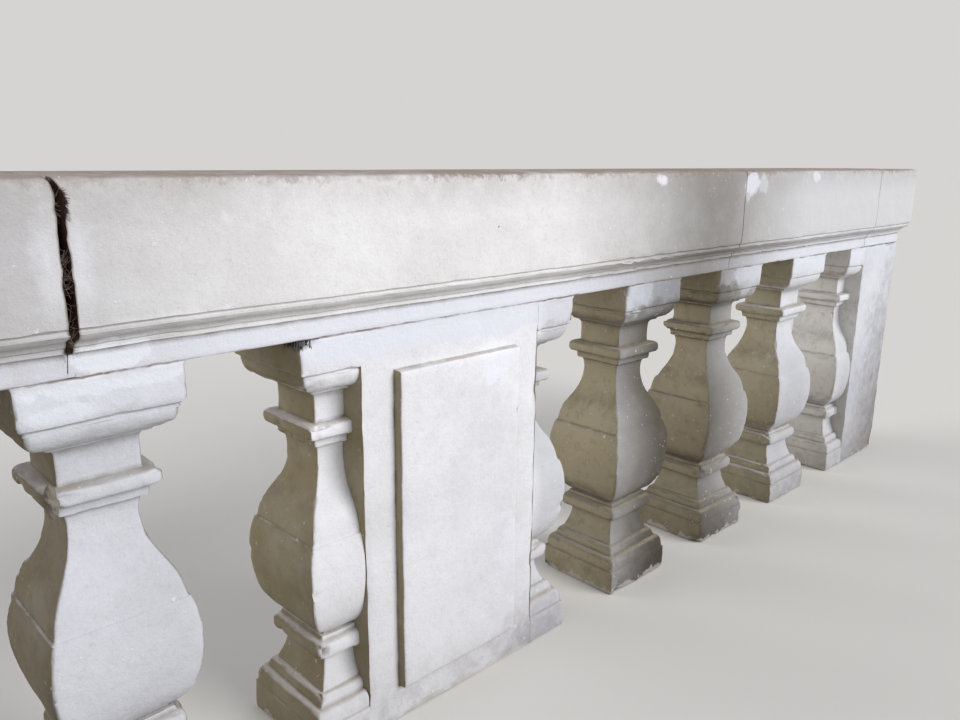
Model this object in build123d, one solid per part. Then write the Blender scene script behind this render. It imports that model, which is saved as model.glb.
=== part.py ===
import os

from build123d import *

os.makedirs("parts", exist_ok=True)

# Make-up of the run: an end pier, then bays of balusters with a panelled pier between each two
bay_count = 3
balusters_in_bay = 3
baluster_pitch = 395
panel_pier_width = 428
end_pier_width = 274

# Half thickness of the wall line, which the plinths, abacuses, piers and frieze share
wall_half = 110

# Square vase baluster, from the floor up: height of each member
plinth_height = 59
base_roll_height = 31
base_roll_splay = 16
base_torus_height = 20
base_torus_splay = 12
base_fillet_height = 5
scotia_height = 55
foot_torus_height = 34
foot_fillet_height = 8
belly_foot_height = 50
belly_height = 73
shoulder_height = 62
neck_foot_height = 58
neck_height = 80
neck_top_height = 20
collar_height = 17
astragal_height = 26
necking_height = 43
cap_splay_height = 10
cap_fillet_height = 6
cap_roll_height = 33
groove_height = 4
abacus_height = 59

# Square vase baluster, from the floor up: how far each member stands back from the wall face
base_roll_setback = 3
base_roll_top_setback = 12
base_torus_setback = 20
base_torus_top_setback = 27
base_fillet_setback = 34
foot_neck_setback = 48
foot_torus_seat_setback = 33
foot_torus_setback = 27
foot_fillet_setback = 41
waist_setback = 50
belly_turn_setback = 12
belly_setback = 3
ridge_setback = 13
ridge_step = 3
neck_turn_setback = 36
throat_setback = 60
neck_top_setback = 57
collar_setback = 47
astragal_seat_setback = 35
astragal_setback = 30
necking_setback = 52
cap_splay_setback = 42
cap_fillet_setback = 37
cap_roll_setback = 5

# Rail, from the balusters up: heights, and how far each member stands out from the one below
frieze_height = 32
bead_height = 6
bead_out = 5
cyma_step = 3
hollow_height = 11
hollow_out = 9
swell_height = 12
swell_out = 10
fascia_gap = 4
fascia_step = 3
fascia_height = 182
arris_chamfer = 4

# Joints of the rail: their widths, and how far they lie from the baluster or pier they stand over
tight_joint = 2
open_joint = 11
tight_joint_offset = 72
open_joint_offset = 38
end_joint_offset = 12

# Raised panel on both faces of the piers between bays
panel_rise = 18
panel_side_margin = 67
panel_top_margin = 75
panel_bottom_margin = 71
panel_edge_chamfer = 4


UP = (0, 1)


class Outline:
    """Half of a moulded outline: distance from the centre line across, height up."""

    def __init__(self, height):
        self.point = (0, height)
        self.edges = []

    def step(self, half, rise=0):
        """A straight line to a new half width and a height above the last point."""
        self._add(Line(self.point, (half, self.point[1] + rise)))

    def sweep(self, half, rise, leaving):
        """An arc that leaves the last point in a given direction."""
        self._add(TangentArc(self.point, (half, self.point[1] + rise), tangent=leaving))

    def settle(self, half, rise, arriving):
        """An arc that arrives at its end in a given direction."""
        end = (half, self.point[1] + rise)
        back = (-arriving[0], -arriving[1])
        self._add(TangentArc(end, self.point, tangent=back), end)

    def roll(self, half, rise):
        """A roll that swells to a half width and comes back."""
        seat, height = self.point
        self._add(ThreePointArc(self.point, (half, height + rise / 2), (seat, height + rise)))

    def face(self):
        """The closed outline with its mirror half."""
        self.step(0)
        start = self.edges[0] @ 0
        self._add(Line(self.point, (start.X, start.Y)))
        half = make_face(self.edges)
        return half + mirror(half, Plane.YZ)

    def _add(self, edge, end=None):
        self.edges.append(edge)
        if end is None:
            end = ((edge @ 1).X, (edge @ 1).Y)
        self.point = end


def start_of_arc(out, rise):
    """The direction in which an arc over this chord starts, when it ends upright."""
    return (2 * out * rise, rise**2 - out**2)


def baluster_outline():
    """The outline that is cut on every face of a baluster, from plinth to abacus."""
    outline = Outline(0)
    outline.step(wall_half)
    outline.step(wall_half, plinth_height)
    outline.step(wall_half - base_roll_setback)
    outline.step(wall_half - base_roll_setback, base_roll_height - base_roll_splay)
    outline.step(wall_half - base_roll_top_setback, base_roll_splay)
    outline.step(wall_half - base_torus_setback)
    outline.step(wall_half - base_torus_setback, base_torus_height - base_torus_splay)
    outline.step(wall_half - base_torus_top_setback, base_torus_splay)
    outline.step(wall_half - base_fillet_setback)
    outline.step(wall_half - base_fillet_setback, base_fillet_height)
    outline.settle(wall_half - foot_neck_setback, scotia_height, UP)
    outline.step(wall_half - foot_torus_seat_setback)
    outline.roll(wall_half - foot_torus_setback, foot_torus_height)
    outline.step(wall_half - foot_fillet_setback)
    outline.step(wall_half - foot_fillet_setback, foot_fillet_height)
    outline.step(wall_half - waist_setback)

    belly_start = start_of_arc(belly_turn_setback - belly_setback, belly_height)
    outline.settle(wall_half - belly_turn_setback, belly_foot_height, belly_start)
    outline.settle(wall_half - belly_setback, belly_height, UP)
    outline.sweep(wall_half - ridge_setback, shoulder_height, UP)
    outline.step(wall_half - ridge_setback - ridge_step)

    neck_start = start_of_arc(neck_turn_setback - throat_setback, neck_height)
    outline.settle(wall_half - neck_turn_setback, neck_foot_height, neck_start)
    outline.settle(wall_half - throat_setback, neck_height, UP)
    outline.sweep(wall_half - neck_top_setback, neck_top_height, UP)
    outline.step(wall_half - collar_setback)
    outline.step(wall_half - collar_setback, collar_height)
    outline.step(wall_half - astragal_seat_setback)
    outline.roll(wall_half - astragal_setback, astragal_height)
    outline.step(wall_half - necking_setback)
    outline.step(wall_half - necking_setback, necking_height)
    outline.step(wall_half - cap_splay_setback, cap_splay_height)
    outline.step(wall_half - cap_fillet_setback)
    outline.step(wall_half - cap_fillet_setback, cap_fillet_height)
    outline.settle(wall_half - cap_roll_setback, cap_roll_height, UP)
    outline.step(wall_half - cap_roll_setback, groove_height)
    outline.step(wall_half)
    outline.step(wall_half, abacus_height)
    return outline


def rail_outline(bed):
    """The rail from its bed up: frieze, bead, cyma, tall plain fascia and flat top."""
    outline = Outline(bed)
    outline.step(wall_half)
    outline.step(wall_half, frieze_height)
    face = wall_half + bead_out
    outline.step(face)
    outline.step(face, bead_height)
    face += cyma_step
    outline.step(face)
    face += hollow_out
    outline.sweep(face, hollow_height, UP)
    face += swell_out
    outline.settle(face, swell_height, UP)
    outline.step(face, fascia_gap)
    face += fascia_step
    outline.step(face)
    outline.step(face, fascia_height - arris_chamfer)
    outline.step(face - arris_chamfer, arris_chamfer)
    return outline


def square_baluster(section):
    """A block cut to the same outline from the front and from the side, so the mouldings mitre."""
    front = extrude(Plane.XZ * section, wall_half, both=True)
    side = extrude(Plane.YZ * section, wall_half, both=True)
    return front & side


def rail_stone(start, end):
    """One length of rail between two joints."""
    return Pos(start, 0, 0) * extrude(Plane.YZ * rail_face, end - start)


def rail_end_stone(joint, pier_end):
    """The last stone of the rail, with its mouldings returned and mitred round the free end."""
    length = abs(pier_end - joint)
    along = extrude(Plane.YZ * rail_face, length + rail_overhang)
    returned = extrude(Plane.XZ * rail_face, wall_half + rail_overhang, both=True)
    inner = Box(
        length - wall_half,
        2 * (wall_half + rail_overhang),
        rail_top - rail_bed,
        align=(Align.MIN, Align.CENTER, Align.MIN),
    )
    across = Pos(length - wall_half, 0, 0) * returned + Pos(0, 0, rail_bed) * inner
    stone = along & across
    if pier_end < joint:
        stone = mirror(stone, Plane.YZ)
    return Pos(joint, 0, 0) * stone


def pier(start, width):
    """A plain square-cut pier block, standing on the floor."""
    return Pos(start, 0, 0) * Box(
        width, 2 * wall_half, rail_bed, align=(Align.MIN, Align.CENTER, Align.MIN)
    )


def panelled_pier(start, width):
    """A pier with a raised panel on its front and back."""
    panel = Box(
        width - 2 * panel_side_margin,
        2 * (wall_half + panel_rise),
        rail_bed - panel_top_margin - panel_bottom_margin,
        align=(Align.MIN, Align.CENTER, Align.MIN),
    )
    faces_by_depth = panel.faces().sort_by(Axis.Y)
    panel = chamfer(faces_by_depth[0].edges() + faces_by_depth[-1].edges(), panel_edge_chamfer)
    return pier(start, width) + Pos(start + panel_side_margin, 0, panel_bottom_margin) * panel


baluster_shape = baluster_outline()
rail_bed = baluster_shape.point[1]
rail_shape = rail_outline(rail_bed)
rail_top = rail_shape.point[1]
rail_overhang = rail_shape.point[0] + arris_chamfer - wall_half
rail_face = rail_shape.face()
baluster = square_baluster(baluster_shape.face())

bay_length = (balusters_in_bay + 1) * baluster_pitch
run_length = bay_count * bay_length + (bay_count - 1) * panel_pier_width + 2 * end_pier_width
run_end = run_length / 2
bay_starts = [
    -run_end + end_pier_width + bay * (bay_length + panel_pier_width) for bay in range(bay_count)
]

pieces = {"end_pier_left": pier(-run_end, end_pier_width)}
for bay, start in enumerate(bay_starts, 1):
    pieces[f"bay_{bay}_half_baluster_left"] = Pos(start, 0, 0) * split(baluster, Plane.YZ, keep=Keep.TOP)
    for place in range(1, balusters_in_bay + 1):
        pieces[f"bay_{bay}_baluster_{place}"] = Pos(start + place * baluster_pitch, 0, 0) * baluster
    end = start + bay_length
    pieces[f"bay_{bay}_half_baluster_right"] = Pos(end, 0, 0) * split(baluster, Plane.YZ, keep=Keep.BOTTOM)
    if bay < bay_count:
        pieces[f"panel_pier_{bay}"] = panelled_pier(end, panel_pier_width)
pieces["end_pier_right"] = pier(run_end - end_pier_width, end_pier_width)

# Places and widths of the joints: beside the end piers, over balusters and at the edge of a pier
first_bay, second_bay, last_bay = bay_starts[0], bay_starts[1], bay_starts[-1]
left_end_joint = first_bay + end_joint_offset
right_end_joint = last_bay + bay_length - end_joint_offset
joints = sorted([
    (left_end_joint, tight_joint),
    (first_bay + bay_length / 2 + tight_joint_offset, tight_joint),
    (second_bay, tight_joint),
    (last_bay - panel_pier_width - baluster_pitch - open_joint_offset, open_joint),
    (last_bay + bay_length / 2 - tight_joint_offset, tight_joint),
    (right_end_joint, tight_joint),
])
pieces["rail_stone_1"] = rail_end_stone(left_end_joint - tight_joint / 2, -run_end)
for number, (left, right) in enumerate(zip(joints, joints[1:]), 2):
    pieces[f"rail_stone_{number}"] = rail_stone(left[0] + left[1] / 2, right[0] - right[1] / 2)
pieces[f"rail_stone_{len(joints) + 1}"] = rail_end_stone(right_end_joint + tight_joint / 2, run_end)

for name, piece in pieces.items():
    export_step(piece, f"parts/{name}.step")
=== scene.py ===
from math import pi, radians, sin, tan

import bmesh
import bpy
from mathutils import Matrix, Vector, noise
from mathutils.geometry import interpolate_bezier


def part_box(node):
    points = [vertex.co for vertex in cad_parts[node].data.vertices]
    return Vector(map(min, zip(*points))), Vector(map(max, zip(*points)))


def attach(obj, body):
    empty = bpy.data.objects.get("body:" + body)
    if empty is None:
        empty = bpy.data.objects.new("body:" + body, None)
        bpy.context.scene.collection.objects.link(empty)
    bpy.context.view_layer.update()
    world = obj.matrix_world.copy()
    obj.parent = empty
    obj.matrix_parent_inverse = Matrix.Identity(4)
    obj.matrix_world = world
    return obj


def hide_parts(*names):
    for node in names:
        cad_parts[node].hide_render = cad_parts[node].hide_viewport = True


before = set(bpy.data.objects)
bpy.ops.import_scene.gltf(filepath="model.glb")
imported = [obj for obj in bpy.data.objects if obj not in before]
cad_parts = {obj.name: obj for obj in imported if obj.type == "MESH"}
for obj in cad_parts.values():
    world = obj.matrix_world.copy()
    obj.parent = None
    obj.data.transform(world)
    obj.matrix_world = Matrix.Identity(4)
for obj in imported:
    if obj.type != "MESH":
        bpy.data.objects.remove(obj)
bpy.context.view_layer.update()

# The stones waver, chip and wear the same way each time
noise.seed_set(3)


# The standpoint: a hand-held camera a little above the rail and close to the wall line, looking
# along the run and down. A moderate wide lens takes in two bays.
eye = Vector((0.0478, -1.1609, 1.0233))
heading, looking_down, leaning = 46.118, 13.958, 0.508
standpoint = bpy.data.cameras.new("Standpoint")
standpoint.sensor_width = 36
standpoint.lens = 30.48
camera = bpy.data.objects.new("Standpoint", standpoint)
bpy.context.scene.collection.objects.link(camera)
camera.matrix_world = (
    Matrix.Translation(eye)
    @ Matrix.Rotation(radians(heading - 90), 4, "Z")
    @ Matrix.Rotation(radians(90 - looking_down), 4, "X")
    @ Matrix.Rotation(radians(leaning), 4, "Z")
)
bpy.context.scene.camera = camera
bpy.context.scene.view_settings.view_transform = "Standard"


def linear(shade):
    """An sRGB hex shade as the linear colour that a socket takes."""
    parts = [int(shade[place:place + 2], 16) / 255 for place in (0, 2, 4)]
    parts = [part / 12.92 if part < 0.04045 else ((part + 0.055) / 1.055) ** 2.4 for part in parts]
    return parts + [1.0]


def add(tree, kind, inputs=(), **settings):
    """One node with its settings, and its sockets set or linked."""
    made = tree.nodes.new(kind)
    for name, value in settings.items():
        setattr(made, name, value)
    for socket, value in dict(inputs).items():
        if isinstance(value, bpy.types.NodeSocket):
            tree.links.new(value, made.inputs[socket])
        else:
            made.inputs[socket].default_value = value
    return made


# The room's light: weak from all round, with a plain backdrop where the camera looks past the
# stones. The faces between the balusters lie in shade.
sky = bpy.data.worlds.new("Soft Room Light")
bpy.context.scene.world = sky
sky.use_nodes = True
sky.node_tree.nodes.clear()
rays = add(sky.node_tree, "ShaderNodeLightPath").outputs
looked_through = rays["Is Camera Ray"]
for ray in ("Is Glossy Ray", "Is Transmission Ray"):
    looked_through = add(sky.node_tree, "ShaderNodeMath", {
        0: looked_through, 1: rays[ray]}, operation="MAXIMUM").outputs[0]
all_round = add(sky.node_tree, "ShaderNodeBackground", {
    "Color": linear("FBFBFF"), "Strength": 0.42})
backdrop = add(sky.node_tree, "ShaderNodeBackground", {
    "Color": linear("D6D4D2"), "Strength": 1.0})
either = add(sky.node_tree, "ShaderNodeMixShader", {
    0: looked_through, 1: all_round.outputs[0], 2: backdrop.outputs[0]})
add(sky.node_tree, "ShaderNodeOutputWorld", {"Surface": either.outputs[0]})


# Two far, wide, soft lights: the window's in front and to the right, and a weaker one from the
# stair, behind and to the left, that models the faces between the balusters.
def far_light(name, energy, spread, comes_from):
    """A light from a direction, as many degrees wide as its spread."""
    light = bpy.data.lights.new(name, "SUN")
    light.energy = energy
    light.angle = radians(spread)
    lamp = bpy.data.objects.new(name, light)
    lamp.matrix_world = Vector(comes_from).to_track_quat("Z", "Y").to_matrix().to_4x4()
    bpy.context.scene.collection.objects.link(lamp)


far_light("Window Light", energy=2.42, spread=38, comes_from=(0.42, -1.0, 0.62))
far_light("Stair Side Light", energy=1.1, spread=45, comes_from=(-0.68, 0.66, 0.42))


# The floor: plain, and as pale to the camera as the backdrop. It is a little darker in the light
# that it throws back on the stones.
floor_mesh = bpy.data.meshes.new("Pale Floor")
bm = bmesh.new()
bmesh.ops.create_grid(bm, x_segments=1, y_segments=1, size=60)
bm.to_mesh(floor_mesh)
bm.free()
floor = bpy.data.objects.new("Pale Floor", floor_mesh)
bpy.context.scene.collection.objects.link(floor)
floor_finish = bpy.data.materials.new("Pale Floor")
floor_finish.use_nodes = True
floor_tree = floor_finish.node_tree
floor_tree.nodes.clear()
floor_rays = add(floor_tree, "ShaderNodeLightPath").outputs
floor_shade = add(floor_tree, "ShaderNodeMix", {
    0: floor_rays["Is Camera Ray"], 6: linear("C0BCB6"), 7: linear("DDDBD7")}, data_type="RGBA")
floor_coat = add(floor_tree, "ShaderNodeBsdfDiffuse", {"Color": floor_shade.outputs[2]})
add(floor_tree, "ShaderNodeOutputMaterial", {"Surface": floor_coat.outputs[0]})
floor_mesh.materials.append(floor_finish)


# Limewash on limestone: many brushed coats of lime over soft yellow-grey stone. It is matt and
# chalky, cool white on the open faces, thin and stone-coloured on the faces between the balusters,
# brown in the grooves, with specks of whiter lime where it was splashed.
MM = 0.001
shoulder_ridge = 398 * MM
abacus_foot = 694 * MM
rail_bed = 753 * MM
frieze_top = 785 * MM
rail_top = 1000 * MM


def limewashed(name, coat, worn, stone_shade, grime_and_shade, dust, bare, shaded_stretches=(), patches=(), shade_and_dirt_patches=(),
               low_shade=0.45, foot_shade=0.2, fresh=1.0, mortar=4):
    """Limewash in its shades, and what has happened to it here and there.

    A shaded stretch of the run is painted shade, darker where less light falls along the run. It
    has a shade, the places in metres where it comes on, is full, starts to go and is gone, and how
    well fresh lime keeps it off. A patch is lime smeared on thicker over an old joint or scar. A
    patch of shade and dirt is painted shade, with dirt at the plinths. Patches of both kinds lie on
    the faces toward the room. Each has its middle along the run and up, its reach along and up, all
    in metres, how well it covers, and a shade.
    """
    finish = bpy.data.materials.new(name)
    finish.use_nodes = True
    tree = finish.node_tree
    tree.nodes.clear()
    place = add(tree, "ShaderNodeTexCoord").outputs["Object"]
    spot = add(tree, "ShaderNodeSeparateXYZ", {0: place}).outputs
    along_run, height = spot["X"], spot["Z"]
    normal = add(tree, "ShaderNodeNewGeometry").outputs["Normal"]
    way = add(tree, "ShaderNodeSeparateXYZ", {0: normal}).outputs

    def clouds(size, detail=4.0, rough=0.55, stretch=(1, 1, 1)):
        """Noise whose blotches are about this many millimetres across."""
        run = add(tree, "ShaderNodeMapping", {"Vector": place, "Scale": stretch})
        made = add(tree, "ShaderNodeTexNoise", {
            "Vector": run.outputs[0], "Scale": 1 / (size * MM),
            "Detail": detail, "Roughness": rough})
        return made.outputs["Fac"]

    def between(value, low, high, least=0.0, most=1.0, kind="LINEAR"):
        """A value spread from one range over another, and held at its ends."""
        made = add(tree, "ShaderNodeMapRange", {
            "Value": value, "From Min": low, "From Max": high, "To Min": least, "To Max": most,
        }, interpolation_type=kind)
        return made.outputs[0]

    def sums(kind, one, other):
        """One sum of two values, of a kind that a math node does."""
        return add(tree, "ShaderNodeMath", {0: one, 1: other}, operation=kind).outputs[0]

    def times(share, *others):
        """Some shares multiplied."""
        for other in others:
            share = sums("MULTIPLY", share, other)
        return share

    def off_level(value, level):
        """How far a height is off a level."""
        return sums("ABSOLUTE", sums("SUBTRACT", value, level), 0.0)

    def over(under, top, share):
        """One coat over another, by its share."""
        made = add(tree, "ShaderNodeMix", {0: share, 6: under, 7: top}, data_type="RGBA")
        return made.outputs[2]

    # Coats of different age, in blotches as long as a forearm and as wide as a hand
    colour = over(linear(coat), linear(worn), between(clouds(240, 5, 0.6), 0.40, 0.64))
    mottle = clouds(26, 5, 0.68)
    colour = over(colour, linear(worn), between(mottle, 0.50, 0.72, 0, 0.45))

    # Fine grime in the grain
    grain = between(clouds(5, 4, 0.7), 0.50, 0.72, 0, 0.17)
    colour = over(colour, linear(grime_and_shade), times(grain, between(mottle, 0.35, 0.6, 0.25, 1.0)))

    # Freshened tops: the abacuses and the rail's frieze were whitened last, down to a brushed edge
    brushed_edge = sums("ADD", height, between(clouds(45, 5, 0.6), 0.3, 0.7, -0.02, 0.02))
    freshened = times(
        between(brushed_edge, abacus_foot + 0.006, abacus_foot + 0.018),
        between(clouds(55, 4, 0.65), 0.36, 0.5, 0.6, 1.0),
        between(height, frieze_top + 0.002, frieze_top - 0.002),
        fresh,
    )
    colour = over(colour, linear("E3E6F0"), freshened)

    # The patches, ragged at their edges, and soft there where they are thin
    facing = between(way["Y"], -0.5, -0.8)
    torn = between(clouds(30, 5, 0.62), 0.3, 0.7, -0.45, 0.45)

    def patch_over(middle, level, reach, rise, cover, soft):
        """The share of a lime patch, or of a patch of painted shade and dirt, at each place."""
        off = add(tree, "ShaderNodeMapping", {
            "Vector": place,
            "Location": (-middle / reach, 0, -level / rise),
            "Scale": (1 / reach, 0, 1 / rise),
        })
        off = add(tree, "ShaderNodeVectorMath", {0: off.outputs[0]}, operation="LENGTH")
        off = sums("ADD", off.outputs["Value"], torn)
        edge_from, edge_to = (1.8, 0.1) if soft else (1.25, 0.85)
        return times(between(off, edge_from, edge_to, 0.0, cover), facing)

    plastered = 0.0
    for middle, level, reach, rise, cover, shade in patches:
        patch = patch_over(middle, level, reach, rise, cover, soft=cover < 0.5)
        colour = over(colour, linear(shade), patch)
        plastered = sums("MAXIMUM", patch, plastered)

    # Painted shade: greyer toward the floor, as less light comes up from it, and greyer still at
    # the foot
    colour = over(colour, linear("A09EA2"), times(between(height, 0.55, 0.0), low_shade))
    colour = over(colour, linear("7F7C7E"), times(between(height, 0.12, 0.02), foot_shade))

    # Thin coat on the faces between the balusters: the stone's own yellow grey shows there, with
    # painted shade and dirt darker toward the floor
    side = sums("ABSOLUTE", way["X"], 0.0)
    thin = times(between(side, 0.55, 0.85), between(clouds(90, 4, 0.62), 0.34, 0.6, 0.88, 1.0))
    colour = over(colour, linear(stone_shade), times(thin, bare))
    colour = over(colour, linear(grime_and_shade), times(between(mottle, 0.52, 0.75, 0, 0.35), thin))
    colour = over(colour, linear("5F5A4D"), times(between(height, 0.42, 0.0, 0, 0.38), thin))

    # Scuffs on the plinths
    scuffs = times(between(height, 0.13, 0.01), between(clouds(34, 5, 0.72), 0.42, 0.66), 0.35)
    colour = over(colour, linear(grime_and_shade), scuffs)

    # Painted shade: stretches of the run drawn darker where less light falls, kept off by patches
    # and in part by fresh lime; then the patches of painted shade and dirt over all
    for shade, onset, full, held, gone, kept_off in shaded_stretches:
        kept = sums("MAXIMUM", times(freshened, kept_off), plastered)
        painted_shade = times(
            between(along_run, onset, full, kind="SMOOTHSTEP"),
            between(along_run, gone, held, kind="SMOOTHSTEP"),
            between(clouds(70, 4, 0.65), 0.25, 0.55, 0.9, 1.0),
            between(side, 0.85, 0.55, 0.4, 1.0),
            sums("SUBTRACT", 1.0, kept),
        )
        colour = over(colour, linear(shade), painted_shade)
    for middle, level, reach, rise, cover, shade in shade_and_dirt_patches:
        shade_and_dirt_share = patch_over(middle, level, reach, rise, cover, soft=True)
        colour = over(colour, linear(shade), shade_and_dirt_share)

    # The ragged mortar that beds the stone on the floor, and rusty mortar in the rail's bed joint
    ragged = sums("ADD", height, between(clouds(36, 5, 0.6), 0.3, 0.7, -0.016, 0.016))
    bedding = between(ragged, mortar * MM + 0.002, mortar * MM - 0.002)
    colour = over(colour, linear("BEB9B3"), times(bedding, 0.6))
    wavy = sums("ADD", height, between(clouds(25, 4), 0.3, 0.7, -0.0012, 0.0012))
    rusty = times(
        between(off_level(wavy, rail_bed), 0.0024, 0.0010),
        facing,
        between(clouds(90, 4, 0.7), 0.40, 0.58, 0.1, 0.8),
    )
    colour = over(colour, linear("7A6052"), rusty)

    # Thin darker lines along the upright arrises, here and there
    arris_darkened = times(
        between(side, 0.25, 0.5),
        between(side, 0.97, 0.85),
        between(clouds(40, 5, 0.7), 0.36, 0.56, 0.10, 0.45),
    )
    colour = over(colour, linear(grime_and_shade), arris_darkened)

    # Dust on what faces up, except on the shoulder ridge, which lime has filled
    filled = between(off_level(height, shoulder_ridge), 0.012, 0.006, 0, 0.8)
    lying = times(
        between(way["Z"], 0.6, 0.95),
        sums("SUBTRACT", 1.0, filled),
        between(clouds(34, 5, 0.65), 0.32, 0.62, 0.45, 1.0),
        0.85,
    )
    colour = over(colour, linear(dust), lying)

    # The rail's top arris, worn bare by hands in a ragged band, with soil rubbed in below
    band = sums("ADD", height, between(clouds(12, 4, 0.75), 0.3, 0.7, -0.010, 0.010))
    worn_bare = times(
        between(band, rail_top - 0.014, rail_top - 0.002),
        between(clouds(200, 4, 0.6), 0.38, 0.6, 0.2, 0.85),
    )
    colour = over(colour, linear(dust), worn_bare)
    soiled = times(
        between(height, rail_top - 0.070, rail_top - 0.005, 0, 0.34),
        between(clouds(30, 5, 0.7), 0.32, 0.6, 0.5, 1.0),
        sums("SUBTRACT", 1.0, plastered),
    )
    colour = over(colour, linear("98918B"), soiled)

    # Grime and painted shade in the grooves and inner corners, least at the shoulder ridge in
    # front, and near-black painted shade with dirt deep in the open joint
    hollow = add(tree, "ShaderNodeAttribute", attribute_name="hollow").outputs["Fac"]
    grime_and_shade_in_grooves = times(
        between(hollow, 0.10, 0.75),
        between(clouds(30, 5), 0.3, 0.62, 0.3, 1.0),
        sums("SUBTRACT", 0.8, times(filled, facing)),
    )
    colour = over(colour, linear(grime_and_shade), grime_and_shade_in_grooves)
    colour = over(colour, linear("4A2C26"), between(hollow, 0.88, 1.0, 0, 0.94))

    # Splashes of whiter lime, 2 to 9 mm across and uneven, in loose groups
    flung = add(tree, "ShaderNodeTexNoise", {"Vector": place, "Scale": 160.0, "Detail": 2.0})
    strayed = add(tree, "ShaderNodeVectorMath", {
        0: flung.outputs["Color"], 1: (0.010, 0.010, 0.010)}, operation="MULTIPLY")
    strayed = add(tree, "ShaderNodeVectorMath", {
        0: place, 1: strayed.outputs[0]}, operation="ADD").outputs[0]
    splash = 0.0
    for crowd, chance, size in ((150.0, 0.80, 0.34), (75.0, 0.84, 0.30), (34.0, 0.86, 0.21)):
        drops = add(tree, "ShaderNodeTexVoronoi", {"Vector": strayed, "Scale": crowd}).outputs
        lot = add(tree, "ShaderNodeSeparateColor", {0: drops["Color"]}).outputs[0]
        rim = sums("SUBTRACT", between(lot, chance, 1.0, 0.0, size), drops["Distance"])
        splash = sums("MAXIMUM", between(rim, 0.0, 0.06), splash)
    splash = times(splash, between(clouds(110, 4), 0.45, 0.60))
    colour = over(colour, linear("ECEEF4"), times(splash, 0.50))

    # Pinholes and small dark scars
    scars = add(tree, "ShaderNodeTexVoronoi", {"Vector": strayed, "Scale": 22.0}).outputs
    lot = add(tree, "ShaderNodeSeparateColor", {0: scars["Color"]}).outputs[1]
    rim = sums("SUBTRACT", between(lot, 0.90, 1.0, 0.0, 0.07), scars["Distance"])
    pit = between(rim, 0.0, 0.02)
    colour = over(colour, linear("6B6156"), times(pit, 0.7))

    # The grain of the stone, the brushed lumps of the coats, and what stands out or is sunk
    relief = times(clouds(2.6, 3, 0.65), 0.5)
    for form, share in (
        (clouds(11, 5, 0.6), 1.0), (clouds(38, 4, 0.5, (1, 1, 0.4)), 1.3),
        (splash, 0.35), (plastered, 0.5), (pit, -0.6),
    ):
        relief = sums("ADD", relief, times(form, share))
    bump = add(tree, "ShaderNodeBump", {"Height": relief, "Strength": 0.65, "Distance": 2.0 * MM})
    chalk = add(tree, "ShaderNodeBsdfPrincipled", {
        "Base Color": colour, "Roughness": between(clouds(60, 3), 0.3, 0.7, 0.82, 0.95),
        "IOR": 1.45, "Specular IOR Level": 0.25, "Normal": bump.outputs[0]})
    add(tree, "ShaderNodeOutputMaterial", {"Surface": chalk.outputs[0]})
    return finish


bright_limewash = limewashed(
    "Bright Limewash On Limestone",
    coat="EEEFF4", worn="DFE0E4", stone_shade="978B6C", grime_and_shade="766B59", dust="B5ADA3", bare=0.97,
    low_shade=0.38, foot_shade=0.04,
    # Painted shade on the pier's right side and the half baluster beside it, where less light falls
    shaded_stretches=[("CBCCD1", 1.20, 1.26, 1.45, 1.60, 0.5)],
    patches=[
        (1.087, 0.648, 0.036, 0.040, 0.60, "F1F3FC"),   # the panel's upper corner
        (1.145, 0.265, 0.045, 0.055, 0.50, "EFF1FA"),   # the edge of its pier
    ],
    # Painted shade with dirt at the foot of the half baluster by the pier
    shade_and_dirt_patches=[(1.255, 0.015, 0.120, 0.070, 0.65, "8F8C92")],
)
pale_limewash = limewashed(
    "Pale Limewash On Limestone",
    coat="E6E8ED", worn="D6D8DD", stone_shade="ACA286", grime_and_shade="6A604E", dust="B5ADA3", bare=0.95,
    low_shade=0.65, fresh=0.8,
    # Painted shade on the lower belly
    shade_and_dirt_patches=[(2.380, 0.290, 0.120, 0.150, 0.45, "A3A3A8")],
)
grey_limewash = limewashed(
    "Greyed Limewash On Limestone",
    coat="D3D5DC", worn="C4C6CC", stone_shade="857A62", grime_and_shade="6A604E", dust="A39B90", bare=0.97,
    low_shade=0.36, fresh=0.35,
    patches=[
        (0.400, 0.744, 0.125, 0.016, 0.60, "E8EBF4"),   # the abacus under the open joint
        (0.345, 0.708, 0.035, 0.012, 0.50, "E8EBF4"),
    ],
)
# Two balusters of the last bay: a thin coat, drawn greyer than the rest partly as painted shade,
# where little window light reaches them
thin_limewash_and_shade = limewashed(
    "Thin Limewash And Painted Shade On Limestone",
    coat="BEBEBF", worn="AEADAC", stone_shade="C0B498", grime_and_shade="5E5441", dust="9E9583", bare=1.0,
    low_shade=0.25, foot_shade=0.40, fresh=0.9, mortar=10,
    # Painted shade, darkest in the middle of the last bay, where least window light falls
    shaded_stretches=[("524C41", 1.41, 1.72, 1.82, 2.18, 0.2)],
    patches=[
        (1.545, 0.738, 0.055, 0.046, 0.75, "D9DCE5"),   # two abacuses of the last bay
        (2.055, 0.730, 0.085, 0.044, 0.62, "D2D5DD"),
    ],
    # Painted shade on the right part of an abacus, and painted shade with dirt on the two plinths
    shade_and_dirt_patches=[
        (1.650, 0.740, 0.100, 0.044, 0.55, "A5A8B0"),
        (1.710, 0.020, 0.110, 0.080, 0.70, "3A3531"),   # their plinths
        (1.980, 0.015, 0.130, 0.080, 0.40, "3A3531"),
    ],
)
soft_limewash = limewashed(
    "Soft Limewash On Limestone",
    coat="ECEEF3", worn="DEE0E5", stone_shade="EAE7E0", grime_and_shade="7B7265", dust="B5ADA3", bare=0.8,
    # Painted shade on the lower belly
    shade_and_dirt_patches=[(2.765, 0.300, 0.070, 0.200, 0.35, "A3A3A8")],
)
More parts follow.
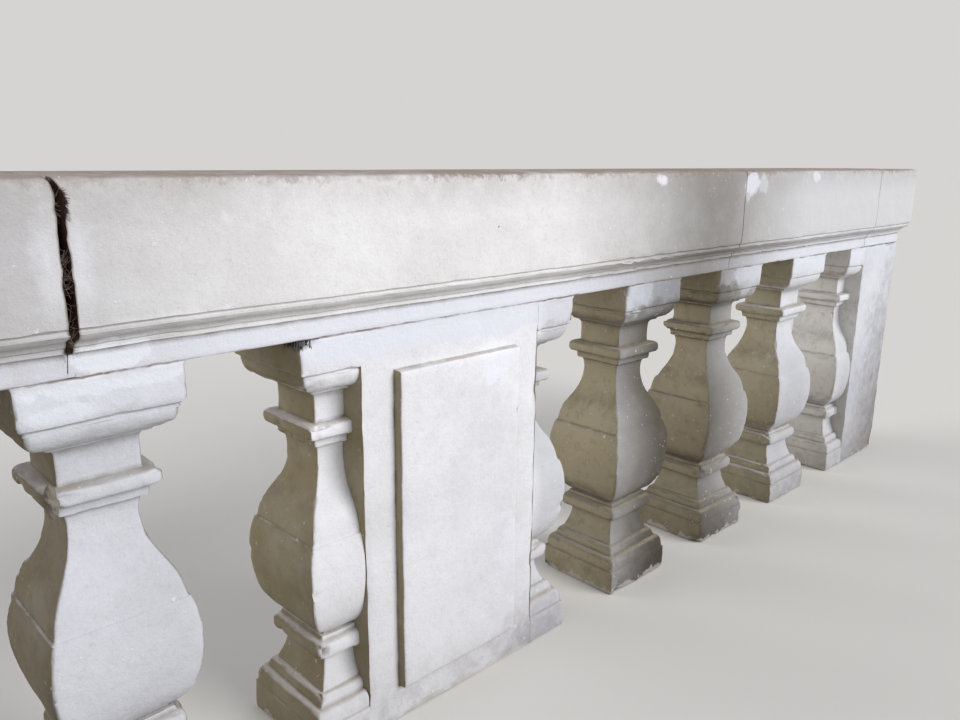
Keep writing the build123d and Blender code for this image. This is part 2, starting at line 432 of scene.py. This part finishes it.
end_limewash = limewashed(
    "Brushed Limewash On Limestone",
    coat="E3E6ED", worn="D4D7DE", stone_shade="E4E1DA", grime_and_shade="7B7265", dust="B5ADA3", bare=0.8,
    low_shade=0.65, foot_shade=0.4, fresh=0.3,
    # Painted shade low down toward the pier's free end
    shade_and_dirt_patches=[(3.070, 0.100, 0.140, 0.360, 0.85, "85807F")],
)
rail_limewash = limewashed(
    "Worn Limewash On Rail Stone",
    coat="F1F1F3", worn="E4E3E4", stone_shade="C9C6BE", grime_and_shade="6F6557", dust="8C7B70", bare=0.6,
    # Painted shade: darker on both sides of the open joint, deepest before the joint in the last
    # bay, and a little toward the far end, as the light falls off along the run
    shaded_stretches=[
        ("A5A4A6", -0.9, -0.2, 0.0, 0.80, 0.45),        # on both sides of the open joint
        ("D6D7DA", 1.95, 2.15, 9.0, 9.5, 0.85),
        ("827F7C", 1.20, 1.90, 1.72, 2.35, 0.0),        # before the joint in the last bay
    ],
    patches=[
        (0.405, 0.772, 0.050, 0.022, 0.80, "E9ECF5"),   # about the open joint
        (0.337, 0.900, 0.012, 0.052, 0.48, "E8EAF6"),
        (0.372, 0.895, 0.011, 0.052, 0.45, "E8EAF6"),
        (0.560, 0.945, 0.006, 0.008, 0.45, "F0F1F6"),
        (1.968, 0.970, 0.036, 0.027, 0.85, "E9ECF8"),   # splashed over the joint in the last bay
        (1.945, 0.945, 0.014, 0.022, 0.50, "E4E7F3"),
        (2.020, 0.968, 0.026, 0.027, 0.50, "E4E7F3"),
        (1.571, 0.981, 0.018, 0.011, 0.90, "ECEEF8"),   # two large drops beside it
        (2.319, 0.978, 0.020, 0.013, 0.75, "E9ECF8"),
    ],
)


# Square vase balusters: each is one block of limestone about 220 mm square and 750 mm high, sawn
# and chiselled to the same outline on all four faces, so its mouldings meet in mitres at the
# arrises. They stand in lime mortar between the floor and the rail.
def mirrored(direction, chord):
    """A direction as it is at the other end of an arc on this chord."""
    way = chord.normalized()
    return 2 * way.dot(direction) * way - direction


def arc(outline, half, height, leaving=None, arriving=None, steps=6):
    """Adds an arc to a half width and a height, leaving or arriving in a given direction."""
    start, end = outline[-1], Vector((half, 0, height))
    chord = end - start
    first = leaving or mirrored(arriving, chord)
    turn = first.angle(chord)
    reach = chord.length * 2 / 3 * tan(turn / 2) / sin(turn)
    last = mirrored(first, chord)
    curve = interpolate_bezier(start, start + first * reach, end - last * reach, end, steps + 1)
    outline += curve[1:]


def flat(outline, half, height):
    """Adds a flat to a half width and a height."""
    outline.append(Vector((half, 0, height)))


def line_of(outline, spacing=9):
    """The outline in short edges up a square's diagonal, its sharp turns dressed off."""
    bm = bmesh.new()
    drawn = [bm.verts.new((p.x * MM, p.x * MM, p.z * MM)) for p in outline]
    for pair in zip(drawn, drawn[1:]):
        bm.edges.new(pair)
    sharp = []
    for v in drawn[1:-1]:
        before, after = (e.other_vert(v).co - v.co for e in v.link_edges)
        if before.angle(-after) > radians(28):
            sharp.append(v)
    bmesh.ops.bevel(bm, geom=sharp, offset=1.2 * MM, affect="VERTICES", segments=1, profile=0.5,
                    material=-1)
    for edge in list(bm.edges):
        pieces = int(edge.calc_length() / (spacing * MM))
        if pieces:
            bmesh.ops.subdivide_edges(bm, edges=[edge], cuts=pieces)
    return bm


def squared(outline, spacing=9, columns=26, crowding=1.4):
    """The outline cut on four faces of a square block, its columns crowded toward the arrises."""
    bm = line_of(outline, spacing)
    bmesh.ops.spin(bm, geom=bm.verts[:] + bm.edges[:], cent=(0, 0, 0), axis=(0, 0, 1),
                   dvec=(0, 0, 0), angle=2 * pi, steps=4, use_merge=True, use_duplicate=False)
    bmesh.ops.remove_doubles(bm, verts=bm.verts[:], dist=0.01 * MM)
    level = []
    for e in bm.edges:
        one, other = (v.co for v in e.verts)
        crosses_middle = one.x * other.x < -1e-9 or one.y * other.y < -1e-9
        if abs(one.z - other.z) < 0.001 * MM and crosses_middle:
            level.append(e)
    bmesh.ops.subdivide_edges(bm, edges=level, cuts=columns, use_single_edge=True)
    for v in bm.verts:
        half = max(abs(v.co.x), abs(v.co.y))
        for axis in (0, 1):
            share = v.co[axis] / half if half else 0
            if abs(share) < 0.9999:
                crowded = 1 - (1 - abs(share)) ** crowding
                v.co[axis] = half * crowded * (1 if share > 0 else -1)
    bmesh.ops.recalc_face_normals(bm, faces=bm.faces[:])
    return bm


def corners_rubbed(bm, round_rolls=(), on_rolls=10.0, elsewhere=4.5):
    """Rubs the upright corners of a square block round, most where a roll stands out."""
    for v in bm.verts:
        height = v.co.z / MM
        on_a_roll = any(low <= height <= high for low, high in round_rolls)
        uneven = 1 + 0.45 * noise.noise(v.co * 14)
        half = max(abs(v.co.x), abs(v.co.y))
        radius = min((on_rolls if on_a_roll else elsewhere) * (uneven * MM), half / 4)
        over_x, over_y = abs(v.co.x) - half + radius, abs(v.co.y) - half + radius
        if over_x > 0 and over_y > 0:
            reach = max(1.0, (over_x**2 + over_y**2) ** 0.5 / radius)
            v.co.x = (half - radius + over_x / reach) * (1 if v.co.x > 0 else -1)
            v.co.y = (half - radius + over_y / reach) * (1 if v.co.y > 0 else -1)


def sawn(bm, place, across, near, clear_behind=False):
    """A plane cut through a mesh, at a place and across a direction."""
    bmesh.ops.bisect_plane(bm, geom=bm.verts[:] + bm.edges[:] + bm.faces[:], dist=near * MM,
                           plane_co=place, plane_no=across, clear_inner=clear_behind)


def open_ring(bm):
    """The edges that stand open after a cut."""
    return [e for e in bm.edges if len(e.link_faces) < 2]


def under_the_rail(cut):
    """Beside the bed joint below the rail, which is filled flush."""
    return abs(cut.z - rail_bed) < 5 * MM


def weathered(bm, low, high, blunt=0.75, waver=1.6, chip=5.0, rubs=11, lost=(),
              bedded=under_the_rail):
    """Hand-cut and worn: faces waver, and arrises are rubbed round and chipped. In the places that
    are lost (centre, reach and depth) a bite is gone. What is bedded keeps its edge, and the stone
    stays inside its box. Each noise changes about as often in a metre as its place is multiplied.
    """
    bm.normal_update()
    sound = [(v.co.copy(), v.normal.copy()) for v in bm.verts]
    grooves = bm.verts.layers.float.new("hollow")
    for rub in range(rubs):
        bmesh.ops.smooth_vert(bm, verts=bm.verts[:], factor=0.5,
                              use_axis_x=True, use_axis_y=True, use_axis_z=True)
        if rub == 1:
            # Two rubs fill the grooves, and so mark where grime and painted shade will sit
            for v, (cut, out) in zip(bm.verts, sound):
                v[grooves] = min(0.85, max(0.0, (v.co - cut).dot(out) / (1.1 * MM)))
    for v, (cut, out) in zip(bm.verts, sound):
        # The faces waver over the length of a hand and of a finger, and are rough to the touch
        shift = noise.noise_vector(cut * 4.0) * waver * MM
        shift += noise.noise_vector(cut * 15.0) * 0.8 * MM
        shift -= out * (0.9 + 0.9 * noise.noise(cut * 22) + 0.6 * noise.noise(cut * 55)) * MM
        rounded = (v.co - cut).dot(out)
        if rounded < 0:
            # An arris is blunt, and chipped where the stone is at fault
            fault = max(0.0, noise.fractal(cut * 26, 1.0, 2.0, 4) - 0.10)
            fault *= max(0.0, noise.noise(cut * 4.3) + 0.30)
            keen = min(1.0, -rounded / (0.6 * MM))
            shift += out * rounded * blunt * (1.0 + 0.7 * noise.noise(cut * 16))
            shift -= out * fault * chip * 3 * keen * MM
        else:
            shift += out * rounded * 0.12
        if bedded(cut):
            shift *= 0.1
        for centre, reach, depth in lost:
            near = (cut - Vector(centre)).length / (reach * MM) + 0.35 * noise.noise(cut * 70)
            if near < 1:
                lumps = 0.8 + 0.5 * noise.noise(cut * 120)
                shift -= out * depth * (1 - near * near) * lumps * MM
        v.co = cut + shift
        for axis in range(3):
            v.co[axis] = min(max(v.co[axis], low[axis]), high[axis])


def stone(name, bm, finish, *nodes):
    """A finished stone: a smooth-shaded mesh at the origin that stands for its CAD nodes."""
    bmesh.ops.recalc_face_normals(bm, faces=bm.faces[:])
    mesh = bpy.data.meshes.new(name)
    bm.to_mesh(mesh)
    bm.free()
    mesh.shade_smooth()
    mesh.set_sharp_from_angle(angle=radians(50))
    mesh.materials.append(finish)
    piece = bpy.data.objects.new(name, mesh)
    bpy.context.scene.collection.objects.link(piece)
    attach(piece, "root")
    if nodes:
        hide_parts(*nodes)


# The outline from the middle of the foot up, in half widths and heights in millimetres
UP = Vector((0, 0, 1))
vase = [Vector((0, 0, 0))]
flat(vase, 110, 0)                                  # plinth
flat(vase, 110, 59)
flat(vase, 107, 59)                                 # base roll
flat(vase, 107, 74)
arc(vase, 98, 90, leaving=UP, steps=5)
flat(vase, 90, 90)                                  # base torus
flat(vase, 90, 98)
arc(vase, 83, 110, leaving=UP, steps=4)
flat(vase, 76, 110)                                 # fillet
flat(vase, 76, 115)
arc(vase, 62, 170, arriving=UP, steps=9)            # scotia
flat(vase, 73, 170)                                 # foot torus
arc(vase, 83, 180, arriving=UP, steps=4)
flat(vase, 83, 193)
arc(vase, 73, 204, leaving=UP, steps=4)
flat(vase, 69, 204)                                 # foot fillet
flat(vase, 69, 212)
flat(vase, 60, 212)                                 # belly
arc(vase, 98, 262, arriving=mirrored(UP, Vector((9, 0, 73))), steps=9)
arc(vase, 107, 335, arriving=UP, steps=10)
arc(vase, 97.5, 396.5, leaving=UP, steps=9)
flat(vase, 93, 397.5)                               # ridge at the shoulder
arc(vase, 74, 455, arriving=mirrored(UP, Vector((-24, 0, 80))), steps=9)
arc(vase, 50, 535, arriving=UP, steps=11)           # neck
arc(vase, 53, 555, leaving=UP, steps=3)
flat(vase, 63, 555)                                 # collar
flat(vase, 63, 572)
flat(vase, 71, 572)                                 # astragal
arc(vase, 80, 580, arriving=UP, steps=4)
flat(vase, 80, 590)
arc(vase, 71, 598, leaving=UP, steps=4)
flat(vase, 58, 598)                                 # necking
flat(vase, 58, 641)
arc(vase, 68, 651, leaving=UP, steps=4)             # cap: cove, fillet, roll, groove and abacus
flat(vase, 73, 651)
flat(vase, 73, 657)
arc(vase, 105, 689, arriving=UP, steps=8)
flat(vase, 103, 690)
flat(vase, 103, 693)
flat(vase, 110, 694)
flat(vase, 110, 753)
flat(vase, 0, 753)
vase_rolls = ((60, 89), (92, 109), (171, 203), (573, 597), (665, 692))

# Balusters near the standpoint have a finer mesh
near_at_hand = (
    "bay_2_baluster_3", "bay_3_baluster_1", "bay_3_baluster_2", "bay_3_baluster_3",
    "bay_2_half_baluster_right", "bay_3_half_baluster_left", "bay_3_half_baluster_right",
)
near_spacing, far_spacing = 7, 11


def vase_at(node, middle):
    """A square vase baluster for a node, with its middle at a place along the run."""
    bm = squared(vase, near_spacing if node in near_at_hand else far_spacing)
    corners_rubbed(bm, vase_rolls)
    bmesh.ops.translate(bm, verts=bm.verts[:], vec=(middle, 0, 0))
    return bm


# The rest are greyed. What is lost from a stone is lost where the photo shows it
coats = {
    "bay_1_baluster_1": bright_limewash,
    "bay_3_baluster_1": thin_limewash_and_shade,
    "bay_3_baluster_2": thin_limewash_and_shade,
    "bay_3_baluster_3": pale_limewash,
}
lost_from = {
    "bay_2_baluster_3": [((0.322, -0.083, 0.585), 24, 9), ((0.413, -0.110, 0.694), 9, 3)],
    "bay_3_baluster_1": [((1.503, -0.110, 0.744), 16, 8), ((1.535, -0.110, 0.004), 26, 8)],
    "bay_3_baluster_2": [((1.925, -0.083, 0.192), 26, 14), ((1.900, -0.100, 0.004), 30, 9)],
    "bay_3_baluster_3": [((2.293, -0.090, 0.753), 18, 8), ((2.293, -0.045, 0.753), 22, 9),
                         ((2.350, -0.110, 0.753), 15, 5)],
}
for bay in (1, 2, 3):
    for number in (1, 2, 3):
        node = f"bay_{bay}_baluster_{number}"
        low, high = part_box(node)
        bm = vase_at(node, (low.x + high.x) / 2)
        weathered(bm, low, high, lost=lost_from.get(node, ()))
        stone(f"Vase_Baluster_{bay}_{number}", bm, coats.get(node, grey_limewash), node)


# Half balusters: where a bay meets a pier, the last baluster is a half one, cut down its middle and
# bedded against the pier, so it reads as growing out of it.
half_coats = {"bay_3_half_baluster_right": soft_limewash}
lost_from_half = {
    "bay_2_half_baluster_right": [
        ((0.680, -0.040, 0.753), 16, 10), ((0.680, -0.065, 0.753), 18, 12),
        ((0.681, -0.090, 0.753), 20, 13), ((0.684, -0.108, 0.753), 20, 13),
        ((0.700, -0.110, 0.753), 13, 8), ((0.712, -0.083, 0.192), 18, 9),
    ],
}
for bay in (1, 2, 3):
    for side, outwards in (("left", 1), ("right", -1)):
        node = f"bay_{bay}_half_baluster_{side}"
        low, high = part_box(node)
        back = low.x if side == "left" else high.x
        bm = vase_at(node, back)
        sawn(bm, (back, 0, 0), (outwards, 0, 0), near=0.001, clear_behind=True)
        weathered(bm, low, high, lost=lost_from_half.get(node, ()),
                  bedded=lambda cut: under_the_rail(cut) or abs(cut.x - back) < 6 * MM)
        rim = open_ring(bm)
        for v in {v for e in rim for v in e.verts}:
            v.co.x = back - outwards * 1.5 * MM     # a little way into the pier
        bmesh.ops.holes_fill(bm, edges=rim, sides=0)
        stone(f"Half_Baluster_{bay}_{side}", bm, half_coats.get(node, bright_limewash), node)


# Piers: blocks of limestone the thickness of the wall line. The two between the bays carry a raised
# panel on each face, cut from the same stone. The end piers are plain.
def slice_up(bm, axis, start, end, spacing, also=()):
    """Cuts a mesh into strips across an axis, so it can be worn, and at some more places."""
    strips = max(1, round((end - start) / (spacing * MM)))
    even = [start + (end - start) * number / strips for number in range(1, strips)]
    apart = 0.35 * spacing * MM
    clear = [place for place in even if all(abs(place - other) > apart for other in also)]
    across = [0, 0, 0]
    across[axis] = 1
    for place in clear + list(also):
        sawn(bm, [place if other == axis else 0 for other in range(3)], across, near=0.05)


def block(low, high):
    """A squared block between two corners."""
    bm = bmesh.new()
    bmesh.ops.create_cube(bm, size=1)
    bmesh.ops.scale(bm, verts=bm.verts[:], vec=high - low)
    bmesh.ops.translate(bm, verts=bm.verts[:], vec=(low + high) / 2)
    return bm


def beside_a_half(cut, face):
    """On a pier's side, where a half baluster's plinth or abacus is bedded against it."""
    return abs(cut.x - face) < 6 * MM and not 60 * MM < cut.z < abacus_foot


def dressed(bm, edges, width):
    """Rounds edges off to a width."""
    bmesh.ops.bevel(bm, geom=edges, offset=width * MM, affect="EDGES", segments=2, profile=0.5,
                    material=-1)


lost_from_pier = {
    "end_pier_right": [((3.072, -0.110, 0.0), 60, 9), ((3.020, -0.110, 0.753), 46, 9)],
}
for node, name in (("end_pier_left", "End_Pier_Left"), ("end_pier_right", "End_Pier_Right")):
    low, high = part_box(node)
    bm = block(low, high)
    dressed(bm, bm.edges[:], 2.5)
    for axis in range(3):
        arrises = (low[axis] + 6 * MM, high[axis] - 6 * MM)
        slice_up(bm, axis, low[axis], high[axis], 10, also=arrises)
    inner_side = high.x if low.x < 0 else low.x
    weathered(bm, low, high, lost=lost_from_pier.get(node, ()),
              bedded=lambda cut: beside_a_half(cut, inner_side))
    stone(name, bm, end_limewash, node)

wall_half = 110 * MM
panel_rise = 18 * MM
panel_side, panel_top, panel_foot = 67 * MM, 75 * MM, 71 * MM
for node, name in (("panel_pier_1", "Panelled_Pier_1"), ("panel_pier_2", "Panelled_Pier_2")):
    low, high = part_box(node)
    bm = block(Vector((low.x, -wall_half, low.z)), Vector((high.x, wall_half, high.z)))
    panel_low = Vector((low.x + panel_side, 0, panel_foot))
    panel_high = Vector((high.x - panel_side, 0, high.z - panel_top))
    for corner in (panel_low, panel_high):
        for across in ((1, 0, 0), (0, 0, 1)):
            sawn(bm, corner, across, near=0.01)
    for facing in (-1, 1):
        face = [
            f for f in bm.faces
            if f.normal.y * facing > 0.9
            and panel_low.x < f.calc_center_median().x < panel_high.x
            and panel_low.z < f.calc_center_median().z < panel_high.z
        ]
        raised = bmesh.ops.extrude_face_region(bm, geom=face)["geom"]
        top = [v for v in raised if isinstance(v, bmesh.types.BMVert)]
        bmesh.ops.translate(bm, verts=top, vec=(0, facing * panel_rise, 0))
        bmesh.ops.delete(bm, geom=face, context="FACES_ONLY")
        dressed(bm, [e for e in raised if isinstance(e, bmesh.types.BMEdge)], 4)
    beside = [panel_low + Vector((-3, 0, -3)) * MM, panel_high + Vector((3, 0, 3)) * MM]
    slice_up(bm, 0, low.x, high.x, 10, also=[point.x for point in beside])
    slice_up(bm, 1, low.y, high.y, 10)
    slice_up(bm, 2, low.z, high.z, 10, also=[point.z for point in beside])
    weathered(bm, low, high, blunt=0.5, waver=1.0, chip=2.0, bedded=lambda cut: (
        under_the_rail(cut) or beside_a_half(cut, low.x) or beside_a_half(cut, high.x)))
    # Less grime and painted shade in the groove round the panel at its top and right, where less
    # shade falls
    grooves = bm.verts.layers.float["hollow"]
    for v in bm.verts:
        if abs(v.co.x - panel_high.x) < 8 * MM or abs(v.co.z - panel_high.z) < 8 * MM:
            v[grooves] *= 0.25 if v.co.x > panel_low.x + 90 * MM else 0.6
    stone(name, bm, bright_limewash, node)


# The rail: long blocks of limestone bedded on the balusters. Each has a plain frieze, a bead, a
# hollow and swelling cyma and a tall flat fascia, the same on both faces, under a flat top. The
# joint between the fourth and fifth stones has opened into a ragged crack as wide as a finger.
rail = [Vector((0, 0, 753))]
flat(rail, 110, 753)
flat(rail, 110, 785)                                # frieze
flat(rail, 115, 785)                                # bead
flat(rail, 115, 790)
flat(rail, 113, 790.5)
flat(rail, 113, 792.5)
flat(rail, 118, 793)                                # cyma
arc(rail, 127, 803, leaving=UP, steps=4)
arc(rail, 136, 814, arriving=UP, steps=4)
flat(rail, 133, 815)
flat(rail, 133, 817.5)
flat(rail, 138.8, 818.5)                            # fascia
flat(rail, 138.8, 989)
arc(rail, 128, 1000, leaving=UP, steps=6)
flat(rail, 0, 1000)


def drawn_along(bm, places):
    """Draws the open end of a rail along through a row of places."""
    rim = open_ring(bm)
    for start, end in zip(places, places[1:]):
        moved = bmesh.ops.extrude_edge_only(bm, edges=rim)["geom"]
        corners = [v for v in moved if isinstance(v, bmesh.types.BMVert)]
        bmesh.ops.translate(bm, verts=corners, vec=(end - start, 0, 0))
        rim = [e for e in moved if isinstance(e, bmesh.types.BMEdge)]


def joint_to_joint(start, end, spacing=14):
    """Places from a joint to a joint, closer together at both ends."""
    way = 1 if end > start else -1
    length = abs(end - start) - 24 * MM
    steps = max(1, round(length / (spacing * MM)))
    between_ends = [start + way * (12 * MM + length * step / steps) for step in range(steps + 1)]
    return [start, start + way * 3 * MM] + between_ends + [end - way * 3 * MM, end]


def crack_side(height, side):
    """How far along the run the crack's left or right side lies at a height, in metres."""
    points = {
        "left": ((753, 352.0), (786, 353), (798, 351.5), (809, 353.8), (820, 352.5), (856, 351.4),
                 (947, 351.4), (981, 350.8), (994, 348), (1000, 341)),
        "right": ((753, 361.5), (786, 360), (806, 363.5), (816, 364.5), (822, 363.5),
                  (868, 363.8), (920, 361.5), (960, 362.5), (978, 361.8), (991, 357), (1000, 350)),
    }[side]
    level = height / MM
    for (z_low, x_low), (z_high, x_high) in zip(points, points[1:]):
        if level <= z_high:
            climbed = max(0.0, level - z_low) / (z_high - z_low)
            return (x_low + (x_high - x_low) * climbed) * MM
    return points[-1][1] * MM


rail_half = 140 * MM
for number in range(1, 8):
    node = f"rail_stone_{number}"
    low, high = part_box(node)
    if number in (1, 7):
        # An end stone: its mouldings return round the free end
        out = 1 if number == 7 else -1
        free_end, joint = (high.x, low.x) if number == 7 else (low.x, high.x)
        middle = free_end - out * rail_half
        bm = squared(rail, near_spacing)
        corners_rubbed(bm)
        bmesh.ops.translate(bm, verts=bm.verts[:], vec=(middle, 0, 0))
        sawn(bm, (middle, 0, 0), (out, 0, 0), near=0.001, clear_behind=True)
        drawn_along(bm, [middle] + joint_to_joint(middle, joint)[2:])
    else:
        # The outline is brought from the diagonal to the joint's plane, mirrored and drawn along
        bm = line_of(rail)
        bmesh.ops.scale(bm, verts=bm.verts[:], vec=(0, 1, 1))
        bmesh.ops.mirror(bm, geom=bm.verts[:] + bm.edges[:], merge_dist=0.01 * MM, axis="Y")
        bmesh.ops.translate(bm, verts=bm.verts[:], vec=(low.x, 0, 0))
        drawn_along(bm, joint_to_joint(low.x, high.x))
    bm.verts.index_update()
    joint_faces = {v.index: v.co.x for e in open_ring(bm) for v in e.verts}
    weathered(bm, low, high, blunt=0.7, waver=1.2, chip=2.5, rubs=5)

    # The joint faces stay where they were sawn. They are painted near-black, as shade with dirt in
    # the joint, except at the frieze, on the top and in the tight joints of the last bay
    bm.verts.ensure_lookup_table()
    grooves = bm.verts.layers.float["hollow"]
    for index, place in joint_faces.items():
        v = bm.verts[index]
        v.co.x = place
        at_frieze = v.co.z < frieze_top + 1 * MM
        on_top = v.co.z > rail_top - 8 * MM and v.co.y > -0.125
        v[grooves] = 0.3 if number > 5 or at_frieze or on_top else 1.0
    if number in (4, 5):
        # The crack's side is broken ragged
        side, mouth = ("left", high.x) if number == 4 else ("right", low.x)
        for v in bm.verts:
            near = 1 - abs(v.co.x - mouth) / (30 * MM)
            if near > 0:
                broken = crack_side(v.co.z, side) - mouth
                ragged = noise.fractal(v.co * 60, 1.0, 2.0, 4) * 2.2 * MM
                v.co.x += (broken + ragged * (-1 if side == "left" else 1)) * near
    bmesh.ops.holes_fill(bm, edges=open_ring(bm), sides=0)
    stone(f"Rail_Stone_{number}", bm, rail_limewash, node)


# Mortar: old lime mortar that still fills the open joint at the frieze and across its top, behind
# its broken mouth, and a rough dab that mends the broken corner of an astragal.
def two_shades(name, shade, other_shade, size, roughness, grain_depth):
    """A matt finish in two shades that run into each other in blotches of a size."""
    finish = bpy.data.materials.new(name)
    finish.use_nodes = True
    tree = finish.node_tree
    tree.nodes.clear()
    place = add(tree, "ShaderNodeTexCoord").outputs["Object"]
    blotch = add(tree, "ShaderNodeTexNoise", {
        "Vector": place, "Scale": 1 / (size * MM), "Detail": 5.0}).outputs["Fac"]
    mixed = add(tree, "ShaderNodeMix", {
        0: blotch, 6: linear(shade), 7: linear(other_shade)}, data_type="RGBA")
    grain = add(tree, "ShaderNodeTexNoise", {
        "Vector": place, "Scale": 1 / (3 * MM), "Detail": 4.0}).outputs["Fac"]
    bump = add(tree, "ShaderNodeBump", {
        "Height": grain, "Strength": 0.6, "Distance": grain_depth * MM})
    coat = add(tree, "ShaderNodeBsdfPrincipled", {
        "Base Color": mixed.outputs[2], "Normal": bump.outputs[0],
        "Roughness": roughness, "IOR": 1.45})
    add(tree, "ShaderNodeOutputMaterial", {"Surface": coat.outputs[0]})
    return finish


def packed(low, high):
    """Old mortar packed between two corners."""
    bm = block(low, high)
    for axis in range(3):
        slice_up(bm, axis, low[axis], high[axis], 4)
    weathered(bm, low, high, waver=1.2, rubs=2, bedded=lambda cut: False)
    return bm


in_frieze = packed(Vector((0.3440, -0.1100, 0.7532)), Vector((0.3690, 0.1100, 0.7848)))
stone("Mortar_In_Open_Joint", in_frieze, rail_limewash)

low, high = Vector((0.3380, -0.1220, 0.9500)), Vector((0.3660, 0.1385, rail_top))
across_top = packed(low, high)
for v in across_top.verts:
    # It follows the crack, a little way into both sides
    left, right = crack_side(v.co.z, "left") - 2 * MM, crack_side(v.co.z, "right") + 2 * MM
    v.co.x = left + (right - left) * (v.co.x - low.x) / (high.x - low.x)
stone("Mortar_Across_Open_Joint", across_top, rail_limewash)

dab = bmesh.new()
bmesh.ops.create_icosphere(dab, subdivisions=5, radius=1)
bmesh.ops.scale(dab, verts=dab.verts[:], vec=(0.008, 0.011, 0.023))
for v in dab.verts:
    v.co += v.co.normalized() * noise.fractal(v.co * 90, 1.0, 2.0, 3) * 4 * MM
bmesh.ops.translate(dab, verts=dab.verts[:], vec=(0.3245, -0.077, 0.588))
stone("Mortar_Mend_On_Astragal", dab, two_shades(
    "Rough Brown Mortar", "8C867C", "6B655B", size=8, roughness=0.95, grain_depth=1.5))


# Cobwebs: dust-laden threads across the open crack, in five clusters, a third of them broken off
# short. Their ends stick in the crack's sides.
def thread(bm, start, end, thickness, sag, lengths=4):
    """A thin thread between two points, hanging a little."""
    turn = (end - start).to_track_quat("Z", "Y").to_matrix().to_4x4()
    ring = bmesh.ops.create_circle(bm, segments=4, radius=thickness * MM,
                                   matrix=Matrix.Translation(start) @ turn)
    first = rim = list(dict.fromkeys(e for v in ring["verts"] for e in v.link_edges))
    for length in range(lengths):
        shares = (length / lengths, (length + 1) / lengths)
        hung, hangs = (-4 * sag * MM * share * (1 - share) for share in shares)
        moved = bmesh.ops.extrude_edge_only(bm, edges=rim)["geom"]
        bmesh.ops.translate(bm, verts=[v for v in moved if isinstance(v, bmesh.types.BMVert)],
                            vec=(end - start) / lengths + Vector((0, 0, hangs - hung)))
        rim = [e for e in moved if isinstance(e, bmesh.types.BMEdge)]
    bmesh.ops.holes_fill(bm, edges=first + rim, sides=0)


def kept_in(bm):
    """Keeps threads from sticking out past the rail's front."""
    for v in bm.verts:
        v.co.y = max(v.co.y, -rail_half + 0.4 * MM)


webs = bmesh.new()
for middle, spread, threads in (
    (0.968, 0.016, 26), (0.900, 0.018, 24), (0.872, 0.014, 22),
    (0.820, 0.020, 10), (0.803, 0.007, 12),
):
    for number in range(threads):
        height = middle + spread * noise.noise((number * 3.7, middle * 50, 0.1)) * 2
        depth = -0.1375 + 0.020 * abs(noise.noise((number * 2.3, 5.1, middle * 9)))
        start = Vector((crack_side(height, "left") - 1 * MM, depth, height))
        end_height = height + 0.040 * noise.noise((number * 1.9, 2.2, middle * 30))
        end_depth = depth + 0.008 * noise.noise((number, 9.1, 3.3))
        end = Vector((crack_side(end_height, "right") + 1 * MM, end_depth, end_height))
        if number % 3 == 0:
            end.x = start.x + (end.x - start.x) * 0.45
        thickness = 0.14 + 0.22 * abs(noise.noise((number * 0.7, 1.5, 4.4)))
        thread(webs, start, end, thickness, sag=3.0)
kept_in(webs)
stone("Cobwebs_In_Crack", webs, two_shades(
    "Dusty Cobweb", "82766A", "544739", size=6, roughness=1.0, grain_depth=0.5))


# Dry tufts: dark roots and dust, stuck where the bedding mortar has dropped out under the rail
# beside the pier, and at the mouth of the crack, over a hair crack in the frieze.
roots_and_dust = two_shades(
    "Dry Roots And Dust", "3B2D24", "1C1613", size=6, roughness=1.0, grain_depth=0.5)

tuft = bmesh.new()
hairs = 90
for number in range(hairs):
    # Four in five lie along the abacus's side, and the rest along its front
    share = number / hairs
    if share < 0.8:
        root = Vector((0.683, -0.035 - 0.075 * share, rail_bed - 0.5 * MM))
    else:
        root = Vector((0.683 + 0.10 * (share - 0.8), -0.106, rail_bed - 0.5 * MM))
    root += 0.003 * noise.noise_vector((number * 1.3, 0.4, 0.9))
    reach = Vector((-0.004, -0.003, -0.010)) + 0.010 * noise.noise_vector((number * 2.1, 7.7, 1.1))
    thread(tuft, root, root + reach, thickness=0.45, sag=-0.8)
for v in tuft.verts:
    v.co.z = min(v.co.z, rail_bed - 0.1 * MM)
stone("Dry_Tuft_Under_Rail", tuft, roots_and_dust)

# A rag of dark hairs from the crack's right side near its top, and a few that hang from its foot
tuft = bmesh.new()
for number in range(48):
    height = 0.966 + 0.020 * noise.noise((number * 1.7, 3.2, 0.4)) * 1.6
    root = Vector((crack_side(height, "right") - 0.002, -0.1384, height))
    reach = Vector((0.005 + 0.007 * noise.noise((number * 2.9, 1.2, 6.1)), -0.0009,
                    -0.003 + 0.012 * noise.noise((number * 1.1, 8.2, 2.6))))
    thread(tuft, root, root + reach, thickness=0.26, sag=-1.0)
for number in range(14):
    height = 0.800 + 0.004 * noise.noise((number * 1.7, 0.3, 0.9))
    root = Vector((0.3535 + 0.0065 * number / 14, -0.1165, height))
    reach = Vector((-0.003, -0.001, -0.013)) + 0.007 * noise.noise_vector((number * 2.1, 4.7, 1.1))
    thread(tuft, root, root + reach, thickness=0.5, sag=-0.8)
hair_crack = Vector((0.3550, -0.1096, 0.7860)), Vector((0.3528, -0.1096, 0.7600))
thread(tuft, *hair_crack, thickness=0.40, sag=0.0)
kept_in(tuft)
stone("Dry_Tuft_In_Crack", tuft, roots_and_dust)
